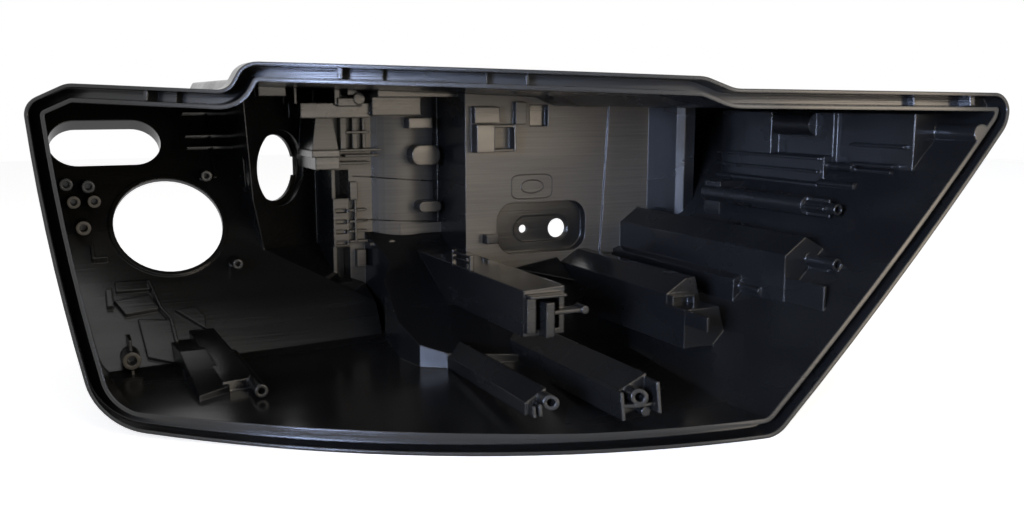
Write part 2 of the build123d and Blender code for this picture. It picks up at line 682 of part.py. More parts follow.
def holes():
    """Holes and recesses cut along the draw direction."""
    floor = PLATEAU_BACK + POCKET_DEPTH
    with BuildPart() as cuts:
        with BuildSketch(Plane.XZ.offset(5 - floor)) as recess:
            with Locations(RECESS_CENTRE):
                SlotOverall(*RECESS_SIZE)
        extrude(recess.sketch, amount=-(5 + RECESS_DEPTH))
        for hole in (SMALL_HOLE, LARGE_HOLE):
            post(*hole, floor - 5, floor + 20)
        for x, z, radius, hole in BOSSES:
            front = left_front(z) - BOSS_HEIGHT
            post(x, z, hole, front - 1, front + BOSS_HEIGHT * 0.6)
        post(*TUBE_CENTRE, TUBE_HOLE, TUBE_FRONT - TUBE_TIP - 1, TUBE_FRONT + 60)
        for tower, x, z, _, hole, height in TOWER_TUBES:
            front = TOWERS[tower][1]
            if hole:
                post(x, z, hole, front - height - 1, front - WALL)
        x, z, _, hole, front = FOOT_POST
        post(x, z, hole, front - 1, front + 5 * WALL)
        left, right = LOUVRE_SPAN
        for level in LOUVRE_LEVELS:
            gap = box_outline(left, level - LOUVRE_HEIGHT / 2, right, level + LOUVRE_HEIGHT / 2)
            block(gap, LOUVRE_FRONT - 1, LOUVRE_FRONT + LOUVRE_DEPTH)
    return cuts.part


def ear_planes():
    """Middle planes of the mounting ears at their bores, x towards the housing."""
    return [
        Plane(origin=TOP_EAR, x_dir=(0, -1, 0), z_dir=(0, 0, 1)),
        Plane(origin=FLOOR_EAR, x_dir=(0, -1, 0), z_dir=(0, 0, 1)),
        Plane(origin=SIDE_EAR, x_dir=(-1, 0, 0), z_dir=(0, 1, 0)),
    ]


def ears():
    """Mounting ears behind the rim, still without their bores."""
    length, width = EAR_SIZE
    with BuildPart() as plates:
        for plane in ear_planes():
            with BuildSketch(plane.offset(-EAR_THICK / 2)) as plate:
                with Locations(((length - width) / 2, 0)):
                    SlotOverall(length, width)
            extrude(plate.sketch, amount=EAR_THICK)
        add(cavity(), mode=Mode.SUBTRACT)
    return plates.part


def ear_bores():
    """Bores through the mounting ears."""
    with BuildPart() as bores:
        for plane in ear_planes():
            disc(plane, EAR_BORE, -EAR_THICK, EAR_THICK)
    return bores.part


with BuildPart() as housing:
    add(shell())
    add(collars())
    add(ears())
    for cuts in (openings(), holes(), ear_bores()):
        add(cuts, mode=Mode.SUBTRACT)
housing.part.label = "housing"
export_step(housing.part, "parts/housing.step")
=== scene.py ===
"""Dressed scene of a moulded headlamp housing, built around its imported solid.

The housing is one black moulding. The script gives it its plastic, adds the fine trim that is
moulded on its walls, and sets the floor, the lamps and the camera. Sizes are in metres, in the
frame of the solid, unless a name ends in _mm. Angles kept as fields are in degrees.
"""

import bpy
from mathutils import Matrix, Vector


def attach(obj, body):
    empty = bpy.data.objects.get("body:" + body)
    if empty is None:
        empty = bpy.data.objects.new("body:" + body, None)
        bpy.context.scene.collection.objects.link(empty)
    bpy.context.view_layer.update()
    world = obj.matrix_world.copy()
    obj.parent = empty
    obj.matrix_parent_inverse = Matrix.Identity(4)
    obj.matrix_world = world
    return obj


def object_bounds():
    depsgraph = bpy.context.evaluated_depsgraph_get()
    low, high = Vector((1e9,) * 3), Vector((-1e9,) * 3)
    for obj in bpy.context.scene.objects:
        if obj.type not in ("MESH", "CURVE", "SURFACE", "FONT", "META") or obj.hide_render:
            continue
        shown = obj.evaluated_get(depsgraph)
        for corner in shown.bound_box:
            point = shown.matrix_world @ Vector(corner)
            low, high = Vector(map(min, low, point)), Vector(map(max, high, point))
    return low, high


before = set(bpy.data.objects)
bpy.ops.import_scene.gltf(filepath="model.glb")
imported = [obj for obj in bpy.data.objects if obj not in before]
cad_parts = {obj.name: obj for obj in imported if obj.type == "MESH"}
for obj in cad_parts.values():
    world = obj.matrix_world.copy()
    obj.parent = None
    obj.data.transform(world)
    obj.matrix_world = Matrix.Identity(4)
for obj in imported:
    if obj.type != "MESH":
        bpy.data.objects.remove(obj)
CAD_BOX = [list(corner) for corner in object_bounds()]

import logging
import math
from dataclasses import dataclass, field
from enum import Enum
from typing import Optional, Sequence

import bmesh
import bpy
from mathutils import Matrix, Vector
from mathutils.bvhtree import BVHTree

logging.basicConfig(level=logging.INFO, format="%(levelname)s %(message)s")
LOG = logging.getLogger("headlamp_housing")

Point = tuple[float, float, float]

MM = 0.001
# The housing opens towards -Y.
OUT_OF_FRONT: Point = (0.0, -1.0, 0.0)
UPWARDS: Point = (0.0, 0.0, 1.0)
# Strength at which a glow shows as plain white.
WHITE_LEVEL = 1.0


class Ray(Enum):
    """A kind of ray, by its Light Path output."""

    CAMERA = "Is Camera Ray"
    GLOSSY = "Is Glossy Ray"
    TRANSMISSION = "Is Transmission Ray"


def linear_from_hex(code: str) -> tuple[float, float, float, float]:
    """Turns an sRGB hex code into linear values.

    Args:
        code: Six hexadecimal digits, red first.

    Returns:
        Linear red, green and blue, and an alpha of 1.
    """
    parts = [int(code[i : i + 2], 16) / 255 for i in (0, 2, 4)]
    linear = [c / 12.92 if c <= 0.04045 else ((c + 0.055) / 1.055) ** 2.4 for c in parts]
    return (linear[0], linear[1], linear[2], 1.0)


def add_node(
    tree: bpy.types.NodeTree, kind: str, values: Optional[dict] = None, **settings: object
) -> bpy.types.Node:
    """Adds a node, with its settings and the values of its unlinked sockets.

    Args:
        tree: The tree that takes the node.
        kind: The node's type name.
        values: Socket name or number to value, or to the output socket that feeds it.
        **settings: Properties of the node itself.

    Returns:
        The new node.
    """
    node = tree.nodes.new(kind)
    for name, value in settings.items():
        setattr(node, name, value)
    for key, value in (values or {}).items():
        if isinstance(value, bpy.types.NodeSocket):
            tree.links.new(value, node.inputs[key])
        else:
            node.inputs[key].default_value = value
    return node


def empty_material(name: str) -> tuple[bpy.types.Material, bpy.types.NodeTree]:
    """Makes a material with an empty node tree.

    Args:
        name: The material's name.

    Returns:
        The material and its tree.
    """
    material = bpy.data.materials.new(name)
    material.use_nodes = True
    material.node_tree.nodes.clear()
    return material, material.node_tree


def seen_by(tree: bpy.types.NodeTree, kinds: Sequence[Ray]) -> bpy.types.NodeSocket:
    """Tells whether the present ray is one of some kinds.

    Args:
        tree: The tree that takes the nodes.
        kinds: The kinds of ray asked for.

    Returns:
        A socket that is 1 for such a ray and 0 for any other.
    """
    rays = add_node(tree, "ShaderNodeLightPath")
    found = rays.outputs[kinds[0].value]
    for kind in kinds[1:]:
        values = {0: found, 1: rays.outputs[kind.value]}
        found = add_node(tree, "ShaderNodeMath", values, operation="MAXIMUM").outputs[0]
    return found


@dataclass(frozen=True)
class Pattern:
    """A noise pattern on Object coordinates, by the real size of its marks."""

    period_mm: float
    stretch: Point = (1.0, 1.0, 1.0)
    detail: float = 2.0
    fineness: float = 0.5


@dataclass(frozen=True)
class MouldedPolypropylene:
    """Black talc-filled polypropylene from a polished, partly textured mould, with painted sheen.
    """

    # Faces along the draw are polished, so they mirror softly. The deep walls across the draw keep
    # the rougher brushed skin of the textured steel, and their lighter colour is painted sheen of
    # the lamps.
    name: str = "pp_td20_black_injection_moulded"
    colour: str = "0C0C0D"
    flow_colour: str = "121211"
    # Painted sheen: the deep walls that face the front are drawn this much lighter.
    painted_sheen_colour: str = "302C27"
    # Painted highlight streaks along the tool marks, lighter still, on those walls.
    painted_streak_highlight_colour: str = "3D3931"
    ior: float = 1.49
    roughness: float = 0.25
    eroded_roughness: float = 0.40
    roughness_swing: float = 0.2
    # How squarely a face looks out of the front where rough skin and painted sheen start, and are
    # full.
    sheen_and_eroded_facing: tuple[float, float] = (0.90, 0.97)
    # Depths between which the middle wall and the flat back wall lie.
    sheen_and_eroded_depths_mm: tuple[tuple[float, float], ...] = ((-80.0, -73.5), (-24.5, 0.0))
    edge_radius_mm: float = 1.6
    edge_samples: int = 4
    # Flow marks are long clouds that follow the melt along the walls.
    flow: Pattern = Pattern(90.0, stretch=(0.25, 1.0, 2.2), detail=3.0, fineness=0.55)
    flow_range: tuple[float, float] = (0.3, 0.7)
    # Real tool marks and grain are finer than this. They are drawn coarse enough to show.
    tool_mark: Pattern = Pattern(1.6, stretch=(0.02, 0.02, 1.0), detail=3.0, fineness=0.6)
    tool_mark_range: tuple[float, float] = (0.35, 0.65)
    tool_mark_depth_mm: float = 0.1
    tool_mark_strength: float = 0.8
    grain: Pattern = Pattern(0.7)
    grain_depth_mm: float = 0.012
    grain_strength: float = 0.5

    def eroded_skin_and_sheen_share(
        self, tree: bpy.types.NodeTree, place: bpy.types.NodeSocket
    ) -> bpy.types.NodeSocket:
        """Finds the deep walls across the draw, which take the rough skin and the painted sheen.

        Args:
            tree: The material's tree.
            place: Object coordinates.

        Returns:
            A socket that is 1 on those walls and 0 elsewhere.
        """
        outwards = add_node(tree, "ShaderNodeNewGeometry").outputs["True Normal"]
        facing = add_node(
            tree, "ShaderNodeVectorMath", {0: outwards, 1: OUT_OF_FRONT}, operation="DOT_PRODUCT"
        ).outputs["Value"]
        start, full = self.sheen_and_eroded_facing
        share = add_node(
            tree, "ShaderNodeMapRange", {"Value": facing, "From Min": start, "From Max": full}
        ).outputs[0]
        depth = add_node(tree, "ShaderNodeSeparateXYZ", {0: place}).outputs["Y"]
        zones = []
        for near, far in self.sheen_and_eroded_depths_mm:
            middle, half = (near + far) / 2 * MM, (far - near) / 2 * MM
            values = {0: depth, 1: middle, 2: half}
            zones.append(add_node(tree, "ShaderNodeMath", values, operation="COMPARE").outputs[0])
        zone = zones[0]
        for other in zones[1:]:
            values = {0: zone, 1: other}
            zone = add_node(tree, "ShaderNodeMath", values, operation="MAXIMUM").outputs[0]
        values = {0: share, 1: zone}
        return add_node(tree, "ShaderNodeMath", values, operation="MULTIPLY").outputs[0]

    def tone(
        self,
        tree: bpy.types.NodeTree,
        flow: bpy.types.NodeSocket,
        marks: bpy.types.NodeSocket,
        eroded_and_sheen: bpy.types.NodeSocket,
    ) -> bpy.types.NodeSocket:
        """Mixes the colour of the polished skin and of the painted sheen on the deep walls.

        Args:
            tree: The material's tree.
            flow: The flow marks.
            marks: The tool marks.
            eroded_and_sheen: The share of rough skin and painted sheen.

        Returns:
            The colour.
        """
        low, high = self.tool_mark_range
        streaks = add_node(
            tree, "ShaderNodeMapRange", {"Value": marks, "From Min": low, "From Max": high}
        ).outputs[0]
        skins = []
        for share, dark, light in (
            (flow, self.colour, self.flow_colour),
            # The sheen's pair paints highlight streaks along the tool marks.
            (streaks, self.painted_sheen_colour, self.painted_streak_highlight_colour),
        ):
            values = {"Factor": share, 6: linear_from_hex(dark), 7: linear_from_hex(light)}
            skins.append(add_node(tree, "ShaderNodeMix", values, data_type="RGBA").outputs[2])
        values = {"Factor": eroded_and_sheen, 6: skins[0], 7: skins[1]}
        return add_node(tree, "ShaderNodeMix", values, data_type="RGBA").outputs[2]

    def gloss(
        self,
        tree: bpy.types.NodeTree,
        flow: bpy.types.NodeSocket,
        eroded_and_sheen: bpy.types.NodeSocket,
    ) -> bpy.types.NodeSocket:
        """Works out the roughness, which swings with the flow marks.

        Args:
            tree: The material's tree.
            flow: The flow marks.
            eroded_and_sheen: The share of rough skin and painted sheen.

        Returns:
            The roughness.
        """
        level = add_node(
            tree,
            "ShaderNodeMapRange",
            {"Value": eroded_and_sheen, "To Min": self.roughness, "To Max": self.eroded_roughness},
        ).outputs[0]
        low, high = self.flow_range
        half = self.roughness_swing / 2
        swing = add_node(
            tree,
            "ShaderNodeMapRange",
            {"Value": flow, "From Min": low, "From Max": high, "To Min": -half, "To Max": half},
        ).outputs[0]
        return add_node(tree, "ShaderNodeMath", {0: level, 1: swing}, operation="ADD").outputs[0]

    def relief(
        self,
        tree: bpy.types.NodeTree,
        marks: bpy.types.NodeSocket,
        grain: bpy.types.NodeSocket,
    ) -> bpy.types.NodeSocket:
        """Stacks soft edges, tool marks and grain.

        Args:
            tree: The material's tree.
            marks: The tool marks.
            grain: The grain.

        Returns:
            The normal.
        """
        normal = add_node(
            tree,
            "ShaderNodeBevel",
            {"Radius": self.edge_radius_mm * MM},
            samples=self.edge_samples,
        ).outputs[0]
        for height, depth_mm, strength in (
            (marks, self.tool_mark_depth_mm, self.tool_mark_strength),
            (grain, self.grain_depth_mm, self.grain_strength),
        ):
            values = {
                "Strength": strength,
                "Distance": depth_mm * MM,
                "Height": height,
                "Normal": normal,
            }
            normal = add_node(tree, "ShaderNodeBump", values).outputs[0]
        return normal

    def build(self) -> bpy.types.Material:
        """Builds the material.

        Returns:
            A material on Object coordinates with flow marks, tool marks, grain and soft edges.
        """
        material, tree = empty_material(self.name)
        place = add_node(tree, "ShaderNodeTexCoord").outputs["Object"]
        patterns = []
        for pattern in (self.flow, self.tool_mark, self.grain):
            stretched = add_node(
                tree, "ShaderNodeMapping", {"Vector": place, "Scale": pattern.stretch}
            ).outputs["Vector"]
            values = {
                "Vector": stretched,
                "Scale": 1 / (pattern.period_mm * MM),
                "Detail": pattern.detail,
                "Roughness": pattern.fineness,
            }
            patterns.append(add_node(tree, "ShaderNodeTexNoise", values).outputs[0])
        flow, marks, grain = patterns
        # Rough skin on the deep walls that face the front; its colour carries the painted sheen.
        eroded_and_sheen = self.eroded_skin_and_sheen_share(tree, place)
        shader = add_node(
            tree,
            "ShaderNodeBsdfPrincipled",
            {
                "Base Color": self.tone(tree, flow, marks, eroded_and_sheen),
                "Roughness": self.gloss(tree, flow, eroded_and_sheen),
                "Normal": self.relief(tree, marks, grain),
                "IOR": self.ior,
            },
        )
        add_node(tree, "ShaderNodeOutputMaterial", {"Surface": shader.outputs[0]})
        return material


@dataclass(frozen=True)
class StudioPaper:
    """White paper of the floor, which the camera sees as the white of the background."""

    # Uncoated paper scatters evenly, so it shows no gloss and only a soft shadow.
    name: str = "studio_paper_white"
    colour: str = "F4F4F4"
    camera_lift: float = 0.76

    def build(self) -> bpy.types.Material:
        """Builds the material.

        Returns:
            A matt white that keeps shadows and is lifted to white for the camera.
        """
        material, tree = empty_material(self.name)
        paper = add_node(
            tree, "ShaderNodeBsdfDiffuse", {"Color": linear_from_hex(self.colour)}
        ).outputs[0]
        lift = add_node(tree, "ShaderNodeEmission", {"Strength": self.camera_lift}).outputs[0]
        lifted = add_node(tree, "ShaderNodeAddShader", {0: paper, 1: lift}).outputs[0]
        white = add_node(tree, "ShaderNodeEmission", {"Strength": WHITE_LEVEL}).outputs[0]
        shown = add_node(
            tree, "ShaderNodeMixShader", {0: seen_by(tree, [Ray.CAMERA]), 1: paper, 2: lifted}
        ).outputs[0]
        mirrored = seen_by(tree, [Ray.GLOSSY, Ray.TRANSMISSION])
        seen = add_node(
            tree, "ShaderNodeMixShader", {0: mirrored, 1: shown, 2: white}
        ).outputs[0]
        add_node(tree, "ShaderNodeOutputMaterial", {"Surface": seen})
        return material


@dataclass
class Softbox:
    """An area lamp that looks at a point of the housing."""

    name: str
    place: Point
    target: Point
    size: tuple[float, float]
    power: float
    colour: str = "FFFFFF"
    spread: float = 180.0

    def build(self) -> bpy.types.Object:
        """Hangs the lamp.

        Returns:
            The lamp's object.
        """
        lamp = bpy.data.lights.new(self.name, "AREA")
        lamp.shape = "RECTANGLE"
        lamp.size, lamp.size_y = self.size
        lamp.energy = self.power
        lamp.spread = math.radians(self.spread)
        lamp.color = linear_from_hex(self.colour)[:3]
        item = bpy.data.objects.new(self.name, lamp)
        bpy.context.scene.collection.objects.link(item)
        item.location = self.place
        aim = Vector(self.target) - Vector(self.place)
        item.rotation_euler = aim.to_track_quat("-Z", "Y").to_euler()
        return item


@dataclass
class Studio:
    """Floor, world, lamps and camera."""

    floor_gap_mm: float = 0.1
    floor_size: float = 6.0
    camera_place: Point = (-0.0960, -0.8016, 0.0965)
    camera_yaw: float = 25.9
    camera_pitch: float = 8.87
    camera_lens: float = 35.156
    camera_sensor: float = 36.0
    camera_reach: tuple[float, float] = (0.01, 50.0)
    world_colour: str = "FFFFFF"
    world_level: float = 0.21
    lamps: list[Softbox] = field(
        default_factory=lambda: [
            Softbox(
                name="front_softbox",
                place=(0.85, -1.35, 0.2),
                target=(0.25, -0.1, 0.0),
                size=(0.6, 0.6),
                power=8.0,
                colour="FFEBD0",
            ),
            Softbox(
                name="strip_softbox",
                place=(0.42, -1.45, 0.3),
                target=(0.2, -0.1, 0.0),
                size=(0.22, 0.8),
                power=3.0,
                colour="FFF3E2",
            ),
            Softbox(
                name="left_softbox",
                place=(-1.0, -0.9, 0.7),
                target=(0.3, -0.1, 0.0),
                size=(0.9, 0.9),
                power=4.0,
                colour="F0F3FF",
            ),
            Softbox(
                name="top_softbox",
                place=(0.2, -0.4, 1.4),
                target=(0.2, -0.1, 0.0),
                size=(1.2, 1.2),
                power=3.5,
            ),
            Softbox(
                name="side_window",
                place=(-0.7, -0.95, 0.22),
                target=(0.52, -0.2, 0.06),
                size=(0.4, 0.4),
                power=2.6,
                colour="BFD3FF",
                spread=32.0,
            ),
        ]
    )

    def build_floor(self) -> bpy.types.Object:
        """Lays the paper floor.

        Returns:
            The floor's object.
        """
        half = self.floor_size / 2
        corners = [(-half, -half), (half, -half), (half, half), (-half, half)]
        mesh = bpy.data.meshes.new("studio_floor")
        level = CAD_BOX[0][2] - self.floor_gap_mm * MM
        mesh.from_pydata([(x, y, level) for x, y in corners], [], [(0, 1, 2, 3)])
        floor = bpy.data.objects.new("studio_floor", mesh)
        bpy.context.scene.collection.objects.link(floor)
        mesh.materials.append(StudioPaper().build())
        return floor

    def build_world(self) -> bpy.types.World:
        """Sets an even dim world that the camera sees as white.

        Returns:
            The world.
        """
        world = bpy.data.worlds.new("studio_world")
        world.use_nodes = True
        tree = world.node_tree
        tree.nodes.clear()
        colour = linear_from_hex(self.world_colour)
        room, white = (
            add_node(
                tree, "ShaderNodeBackground", {"Color": colour, "Strength": strength}
            ).outputs[0]
            for strength in (self.world_level, WHITE_LEVEL)
        )
        mixed = add_node(
            tree, "ShaderNodeMixShader", {0: seen_by(tree, list(Ray)), 1: room, 2: white}
        ).outputs[0]
        add_node(tree, "ShaderNodeOutputWorld", {"Surface": mixed})
        bpy.context.scene.world = world
        return world

    def build_camera(self) -> bpy.types.Object:
        """Places the camera and makes it the scene's camera.

        Returns:
            The camera's object.
        """
        yaw, pitch = math.radians(self.camera_yaw), math.radians(self.camera_pitch)
        right = Vector((math.cos(yaw), -math.sin(yaw), 0.0))
        ahead = Vector(
            (math.sin(yaw) * math.cos(pitch), math.cos(yaw) * math.cos(pitch), -math.sin(pitch))
        )
        data = bpy.data.cameras.new("camera")
        data.sensor_width = self.camera_sensor
        data.lens = self.camera_lens
        data.clip_start, data.clip_end = self.camera_reach
        camera = bpy.data.objects.new("camera", data)
        bpy.context.scene.collection.objects.link(camera)
        turn = Matrix((right, right.cross(ahead), -ahead)).transposed()
        camera.matrix_world = Matrix.Translation(self.camera_place) @ turn.to_4x4()
        bpy.context.scene.camera = camera
        return camera

    def build(self) -> None:
        """Builds the whole studio."""
        self.build_floor()
        self.build_world()
        for lamp in self.lamps:
            lamp.build()
            LOG.info("lamp %s", lamp.name)
        self.build_camera()
        bpy.context.scene.view_settings.view_transform = "Standard"


@dataclass
class Housing:
    """The moulding itself, carried over from the solids."""

    node: str = "housing"
    finish: MouldedPolypropylene = field(default_factory=MouldedPolypropylene)

    def dress(self) -> bpy.types.Object:
        """Gives the moulding its plastic.

        Returns:
            The moulding's object.
        """
        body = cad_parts[self.node]
        plastic = self.finish.build()
        for slot in body.material_slots:
            slot.material = plastic
        LOG.info("dressed %s with %s", self.node, plastic.name)
        return body


@dataclass
class Trim:
    """What every trim piece shares: the moulding that carries it and the plastic it is made of."""

    carrier: bpy.types.Object
    plastic: bpy.types.Material
    body: str = "root"
    slot: str = "housing"
    probe_y: float = -0.5
    surface: BVHTree = field(init=False)

    def __post_init__(self) -> None:
        """Reads the carrier's surface once."""
        mesh = self.carrier.data
        corners = [vertex.co for vertex in mesh.vertices]
        faces = [tuple(face.vertices) for face in mesh.polygons]
        self.surface = BVHTree.FromPolygons(corners, faces)

    def land(self, x_mm: float, z_mm: float) -> tuple[Vector, Vector]:
        """Finds the first surface met from the open front.

        Args:
            x_mm: Place along the front.
            z_mm: Height.

        Returns:
            The point on the surface and the surface's normal there.
        """
        start = Vector((x_mm * MM, self.probe_y, z_mm * MM))
        point, normal, _, _ = self.surface.ray_cast(start, -Vector(OUT_OF_FRONT))
        return point, normal

    def reach(self, start: Vector, way: Vector) -> float:
        """Measures the free way from a point to the next wall, in metres."""
        return self.surface.ray_cast(start, way)[3]

    def hang(self, name: str, mesh: bpy.types.Mesh) -> bpy.types.Object:
        """Puts a mesh into the scene as an object at the origin.

        Args:
            name: The piece's name.
            mesh: Its mesh, in place.

        Returns:
            The object.
        """
        piece = bpy.data.objects.new(name, mesh)
        bpy.context.scene.collection.objects.link(piece)
        return piece

    def hand_over(self, piece: bpy.types.Object) -> bpy.types.Object:
        """Fixes a finished piece to its body.

        Args:
            piece: The finished piece.

        Returns:
            The same piece.
        """
        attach(piece, self.body)
        LOG.info("built %s with %d faces", piece.name, len(piece.data.polygons))
        return piece


def freeze(piece: bpy.types.Object) -> None:
    """Turns a piece's evaluated geometry into its own plain mesh and drops its modifiers.

    Args:
        piece: The piece, with its modifiers set.
    """
    graph = bpy.context.evaluated_depsgraph_get()
    mesh = bpy.data.meshes.new_from_object(piece.evaluated_get(graph))
    piece.modifiers.clear()
    piece.data = mesh


def grow(piece: bpy.types.Object, tree: bpy.types.NodeTree, inputs: dict[str, object]) -> None:
    """Runs a geometry tree on a piece and keeps the result.

    Args:
        piece: The piece that holds the guide mesh.
        tree: The geometry tree.
        inputs: Name of a tree input to its value.
    """
    modifier = piece.modifiers.new("form", "NODES")
    modifier.node_group = tree
    sockets = {item.name: item.identifier for item in tree.interface.items_tree}
    for name, value in inputs.items():
        modifier[sockets[name]] = value
    freeze(piece)


def geometry_tree(name: str, sizes: Sequence[str]) -> tuple[bpy.types.NodeTree, bpy.types.Node]:
    """Starts a geometry tree with a guide, a material and named sizes.

    Args:
        name: The tree's name.
        sizes: Names of its length inputs.

    Returns:
        The tree and its input node.
    """
    tree = bpy.data.node_groups.new(name, "GeometryNodeTree")
    tree.interface.new_socket("Guide", in_out="INPUT", socket_type="NodeSocketGeometry")
    for size in sizes:
        tree.interface.new_socket(size, in_out="INPUT", socket_type="NodeSocketFloat")
    tree.interface.new_socket("Finish", in_out="INPUT", socket_type="NodeSocketMaterial")
    tree.interface.new_socket("Geometry", in_out="OUTPUT", socket_type="NodeSocketGeometry")
    return tree, tree.nodes.new("NodeGroupInput")


def close_tree(
    tree: bpy.types.NodeTree, form: bpy.types.NodeSocket, finish: bpy.types.NodeSocket
) -> None:
    """Ends a geometry tree in real geometry with its finish.

    Args:
        tree: The tree.
        form: The geometry to give out.
        finish: The material to set on it.
    """
    real = add_node(tree, "GeometryNodeRealizeInstances", {0: form}).outputs[0]
    dressed = add_node(
        tree, "GeometryNodeSetMaterial", {"Geometry": real, "Material": finish}
    ).outputs[0]
    add_node(tree, "NodeGroupOutput", {0: dressed})


@dataclass
class ChannelRibs(Trim):
    """Cross ribs that stand from wall to wall in the upper run of the bonding channel."""

    # Place along the front, height, thickness and how far the rib stands up.
    ribs_mm: tuple[tuple[float, float, float, float], ...] = (
        (-18.8, 100.3, 3.4, 9.0),
        (-3.9, 99.6, 1.0, 6.0),
        (85.1, 113.6, 3.6, 9.0),
        (106.6, 113.5, 1.0, 5.0),
        (162.3, 110.4, 1.6, 7.0),
        (184.4, 109.2, 2.4, 8.0),
        (425.1, 95.2, 1.4, 6.0),
        (467.4, 92.5, 5.0, 10.0),
    )
    sink_mm: float = 0.4
    probe_lift_mm: float = 2.0
    # Share of its thickness that a rib loses from foot to crest.
    draft: float = 0.12

    def tree(self) -> bpy.types.NodeTree:
        """Makes the tree that sets one drafted rib on each guide point.

        Returns:
            The tree, which reads each point's size and turn.
        """
        tree, given = geometry_tree("cross_ribs", ["Draft"])
        # The block is a unit cube about the origin, so its foot lies half a unit down.
        block = add_node(tree, "GeometryNodeMeshCube").outputs[0]
        place = add_node(tree, "GeometryNodeInputPosition").outputs[0]
        height = add_node(tree, "ShaderNodeSeparateXYZ", {0: place}).outputs["Z"]
        raised = add_node(tree, "ShaderNodeMath", {0: height, 1: 0.5}, operation="ADD").outputs[0]
        loss = add_node(
            tree, "ShaderNodeMath", {0: raised, 1: given.outputs["Draft"]}, operation="MULTIPLY"
        ).outputs[0]
        kept = add_node(tree, "ShaderNodeMath", {0: 1.0, 1: loss}, operation="SUBTRACT").outputs[0]
        scale = add_node(tree, "ShaderNodeCombineXYZ", {0: kept, 1: 1.0, 2: 1.0}).outputs[0]
        slim = add_node(
            tree, "ShaderNodeVectorMath", {0: place, 1: scale}, operation="MULTIPLY"
        ).outputs[0]
        rib = add_node(
            tree, "GeometryNodeSetPosition", {"Geometry": block, "Position": slim}
        ).outputs[0]
        size, turn = (
            add_node(
                tree, "GeometryNodeInputNamedAttribute", {"Name": name}, data_type="FLOAT_VECTOR"
            ).outputs[0]
            for name in ("size", "turn")
        )
        rotation = add_node(tree, "FunctionNodeEulerToRotation", {0: turn}).outputs[0]
        ribs = add_node(
            tree,
            "GeometryNodeInstanceOnPoints",
            {
                "Points": given.outputs["Guide"],
                "Instance": rib,
                "Rotation": rotation,
                "Scale": size,
            },
        ).outputs[0]
        close_tree(tree, ribs, given.outputs["Finish"])
        return tree

    def build(self) -> bpy.types.Object:
        """Builds the ribs from wall to wall on the channel's floor.

        Returns:
            The piece with all the ribs.
        """
        points, turns, sizes = [], [], []
        for x, z, thickness, height in self.ribs_mm:
            foot, out = self.land(x, z)
            along = Vector(UPWARDS).cross(out).normalized()
            across = out.cross(along)
            start = foot + out * (self.probe_lift_mm * MM)
            up, down = self.reach(start, across), self.reach(start, -across)
            sink = self.sink_mm * MM
            tall = height * MM + sink
            points.append(foot + across * ((up - down) / 2) + out * (tall / 2 - sink))
            turns.append(Matrix((along, across, out)).transposed().to_euler())
            sizes.append((thickness * MM, up + down + 2 * sink, tall))
        guide = bpy.data.meshes.new("channel_ribs")
        guide.from_pydata(points, [], [])
        for name, values in (("turn", turns), ("size", sizes)):
            layer = guide.attributes.new(name, "FLOAT_VECTOR", "POINT")
            layer.data.foreach_set("vector", [part for value in values for part in value])
        piece = self.hang("channel_ribs", guide)
        grow(piece, self.tree(), {"Draft": self.draft, "Finish": self.plastic})
        return self.hand_over(piece)


@dataclass
class WallBeads(Trim):
    """Low round beads on the walls: the cleared plate of the mould's stamp and the seams."""

    stamp_centre_mm: tuple[float, float] = (275.0, 25.0)
    # Half width and half height in millimetres, and the squareness of the outline, 2 an ellipse.
    stamp_rings: tuple[tuple[float, float, float], ...] = ((10.1, 5.4, 2.0), (18.6, 9.8, 5.0))
    stamp_steps: int = 72
    # Start and end of each seam, as place along the front and height.
    seams_mm: tuple[tuple[float, float, float, float], ...] = (
        (142.0, 33.9, 214.0, 27.5),
        (142.0, -1.6, 214.0, -6.2),
    )
    seam_steps: int = 24
    radius_mm: float = 0.75
    proud_mm: float = 0.3
    section_corners: int = 8

    def tree(self) -> bpy.types.NodeTree:
        """Makes the tree that sweeps a round section along the guide lines.

        Returns:
            The tree.
        """
        tree, given = geometry_tree("wall_beads", ["Radius"])
        path = add_node(
            tree, "GeometryNodeMeshToCurve", {"Mesh": given.outputs["Guide"]}
        ).outputs[0]
        section = add_node(
            tree,
            "GeometryNodeCurvePrimitiveCircle",
            {"Resolution": self.section_corners, "Radius": given.outputs["Radius"]},
        ).outputs[0]
        bead = add_node(
            tree,
            "GeometryNodeCurveToMesh",
            {"Curve": path, "Profile Curve": section, "Fill Caps": True},
        ).outputs[0]
        close_tree(tree, bead, given.outputs["Finish"])
        return tree

    def settle(self, x_mm: float, z_mm: float) -> Vector:
        """Finds the bead's centre, sunk so that only a low crown stands proud."""
        point, out = self.land(x_mm, z_mm)
        return point + out * ((self.proud_mm - self.radius_mm) * MM)

    def build(self) -> bpy.types.Object:
        """Builds all the beads as one piece.

        Returns:
            The piece.
        """
        points: list[Vector] = []
        edges: list[tuple[int, int]] = []
        middle_x, middle_z = self.stamp_centre_mm
        for wide, high, squareness in self.stamp_rings:
            first = len(points)
            for step in range(self.stamp_steps):
                angle = 2 * math.pi * step / self.stamp_steps
                side, rise = (
                    math.copysign(abs(part) ** (2 / squareness), part)
                    for part in (math.cos(angle), math.sin(angle))
                )
                place = (middle_x + wide * side, middle_z + high * rise)
                points.append(self.settle(*place))
                edges.append((first + step, first + (step + 1) % self.stamp_steps))
        for x_from, z_from, x_to, z_to in self.seams_mm:
            first = len(points)
            for step in range(self.seam_steps + 1):
                share = step / self.seam_steps
                place = (x_from + share * (x_to - x_from), z_from + share * (z_to - z_from))
                points.append(self.settle(*place))
                if step:
                    edges.append((first + step - 1, first + step))
        guide = bpy.data.meshes.new("wall_beads")
        guide.from_pydata(points, edges, [])
        piece = self.hang("wall_beads", guide)
        grow(piece, self.tree(), {"Radius": self.radius_mm * MM, "Finish": self.plastic})
        return self.hand_over(piece)


